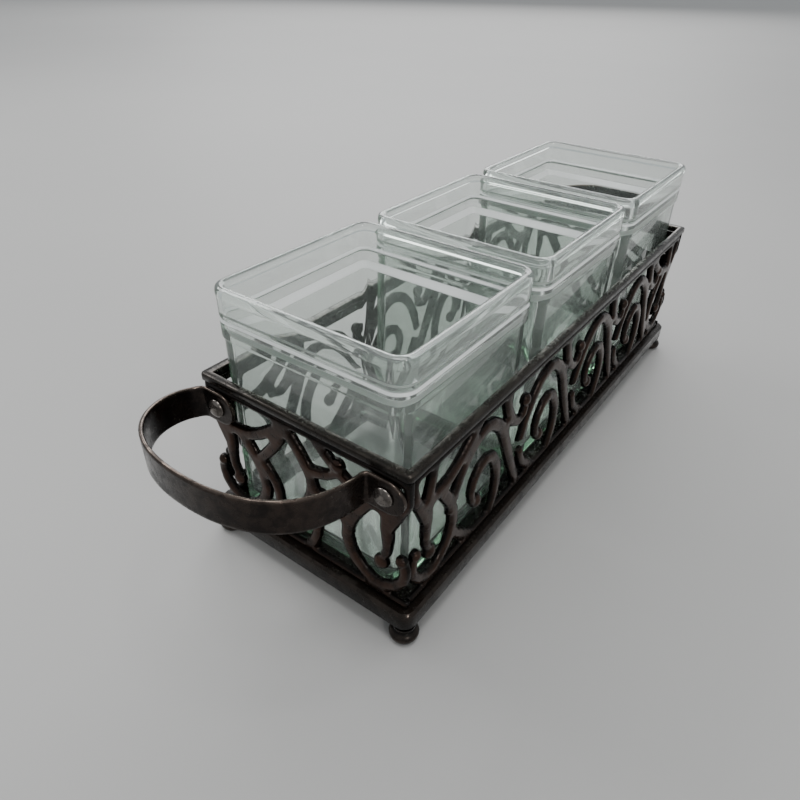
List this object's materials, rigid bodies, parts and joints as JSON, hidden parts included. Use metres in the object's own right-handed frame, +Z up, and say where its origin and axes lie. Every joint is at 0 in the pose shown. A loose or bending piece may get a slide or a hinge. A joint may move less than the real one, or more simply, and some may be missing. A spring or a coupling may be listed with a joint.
{
  "type": "chip and dip server",
  "caption": "Openwork metal caddy with strap end handles that carries a row of lift-out square glass dishes for chips, dips or condiments.",
  "frame": {"origin": "on the table under the middle of the caddy", "axes": "+X along the caddy from its front end to its rear end, +Y across it to its left side, +Z up"},
  "size_m": [0.4218, 0.123, 0.1357],
  "materials": {
    "rim_bronze": "worn satin",
    "base_bronze": "satin",
    "scroll_bronze": "worn satin",
    "strap_steel": "worn satin",
    "rivet_steel": "worn",
    "clear_glass": "polished"
  },
  "bodies": {
    "caddy": {"top_rim": "rim_bronze", "base_frame": "base_bronze", "cross_bar_1": "base_bronze", "cross_bar_2": "base_bronze", "foot_front_right": "base_bronze", "foot_front_left": "base_bronze", "foot_rear_right": "base_bronze", "foot_rear_left": "base_bronze", "front_panel": "scroll_bronze", "rear_panel": "scroll_bronze", "right_panel": "scroll_bronze", "left_panel": "scroll_bronze", "front_handle": "strap_steel", "rear_handle": "strap_steel", "front_left_rivet": "rivet_steel", "front_right_rivet": "rivet_steel", "rear_left_rivet": "rivet_steel", "rear_right_rivet": "rivet_steel"},
    "front_dish": {"dish_1": "clear_glass"},
    "middle_dish": {"dish_2": "clear_glass"},
    "rear_dish": {"dish_3": "clear_glass"}
  },
  "joints": [
    {"name": "front_dish_lift", "type": "slide", "parent": "caddy", "child": "front_dish", "axis": [0, 0, 1], "range_m": [0, 0.12]},
    {"name": "middle_dish_lift", "type": "slide", "parent": "caddy", "child": "middle_dish", "axis": [0, 0, 1], "range_m": [0, 0.12]},
    {"name": "rear_dish_lift", "type": "slide", "parent": "caddy", "child": "rear_dish", "axis": [0, 0, 1], "range_m": [0, 0.12]}
  ]
}
